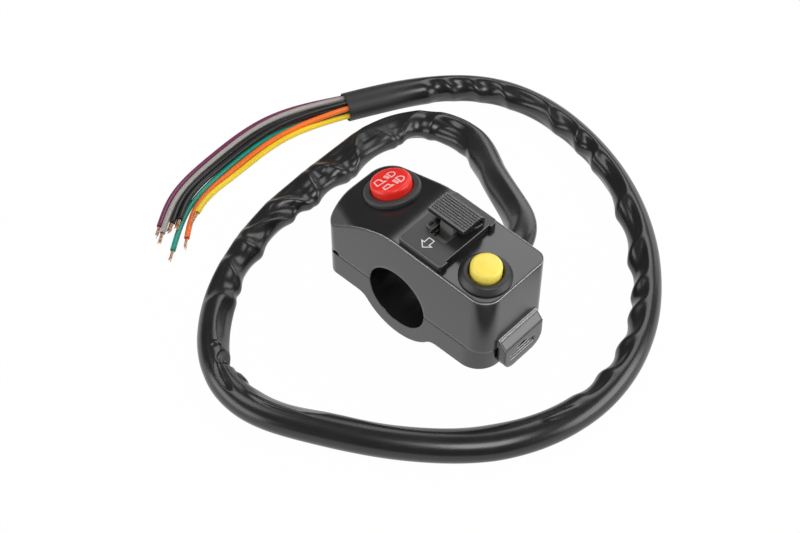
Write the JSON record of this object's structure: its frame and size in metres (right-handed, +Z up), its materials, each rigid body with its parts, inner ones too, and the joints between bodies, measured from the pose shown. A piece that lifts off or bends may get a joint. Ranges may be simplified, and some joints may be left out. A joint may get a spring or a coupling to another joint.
{
  "type": "handlebar switch cluster",
  "caption": "Clamp-on switch pod for a round handlebar: headlamp push button, thumb slide switch, horn button and a sleeved cable that ends in bare wires.",
  "frame": {"origin": "middle of the bar bore, on the split plane between the two housing halves", "axes": "+Y along the bar, away from the face that shows; +X to the horn end; +Z up through the deck"},
  "size_m": [0.1642, 0.1646, 0.0487],
  "materials": {
    "housing_plastic": "semi-gloss moulded black",
    "trim_plastic": "matte moulded black",
    "red_cap": "semi-gloss red",
    "yellow_cap": "semi-gloss yellow",
    "carriage_plastic": "natural grey acetal",
    "plated_steel": "zinc plated",
    "spring_steel": "drawn wire",
    "contact_brass": "stamped",
    "switch_base": "pressed laminate",
    "grommet_rubber": "moulded",
    "tie_nylon": "natural nylon",
    "sleeve_vinyl": "soft glossy vinyl tube",
    "crimson_vinyl": "wire insulation",
    "purple_vinyl": "wire insulation",
    "grey_vinyl": "wire insulation",
    "brown_vinyl": "wire insulation",
    "black_vinyl": "wire insulation",
    "teal_vinyl": "wire insulation",
    "orange_vinyl": "wire insulation",
    "yellow_vinyl": "wire insulation",
    "bare_copper": "bare stranded copper"
  },
  "bodies": {
    "housing": {"upper_housing": "housing_plastic", "lower_clamp": "housing_plastic", "clamp_screws": "plated_steel", "headlamp_bezel": "trim_plastic", "headlamp_spring": "spring_steel", "headlamp_base": "switch_base", "headlamp_terminals": "contact_brass", "headlamp_screws": "plated_steel", "slide_plate": "trim_plastic", "slide_board": "switch_base", "slide_terminals": "contact_brass", "slide_screws": "plated_steel", "horn_bezel": "trim_plastic", "horn_spring": "spring_steel", "horn_base": "switch_base", "horn_terminals": "contact_brass", "horn_screws": "plated_steel", "grommet": "grommet_rubber", "cable_tie": "tie_nylon", "harness_sleeve": "sleeve_vinyl", "wire_crimson": "crimson_vinyl", "wire_purple": "purple_vinyl", "wire_grey": "grey_vinyl", "wire_brown": "brown_vinyl", "wire_black_a": "black_vinyl", "wire_black_b": "black_vinyl", "wire_teal": "teal_vinyl", "wire_orange": "orange_vinyl", "wire_yellow": "yellow_vinyl", "copper_ends": "bare_copper"},
    "headlamp_cap": {"headlamp_button": "red_cap", "headlamp_contact": "contact_brass"},
    "slide_switch": {"slide_knob": "trim_plastic", "slide_carriage": "carriage_plastic", "slide_contact": "contact_brass", "detent_ball": "plated_steel", "detent_spring": "spring_steel"},
    "horn_cap": {"horn_button": "yellow_cap", "horn_contact": "contact_brass"}
  },
  "joints": [
    {"name": "headlamp_press", "type": "slide", "parent": "housing", "child": "headlamp_cap", "axis": [-0.2504, 0, 0.9681], "range_m": [-0.0025, 0], "stiffness_N_per_m": 500, "springref_m": 0.003, "deforming": ["headlamp_spring"]},
    {"name": "slide_move", "type": "slide", "parent": "housing", "child": "slide_switch", "axis": [0, 1, 0], "range_m": [-0.0025, 0.0025]},
    {"name": "horn_press", "type": "slide", "parent": "housing", "child": "horn_cap", "axis": [0.0419, 0, 0.9991], "range_m": [-0.002, 0], "stiffness_N_per_m": 500, "springref_m": 0.003, "deforming": ["horn_spring"]}
  ]
}
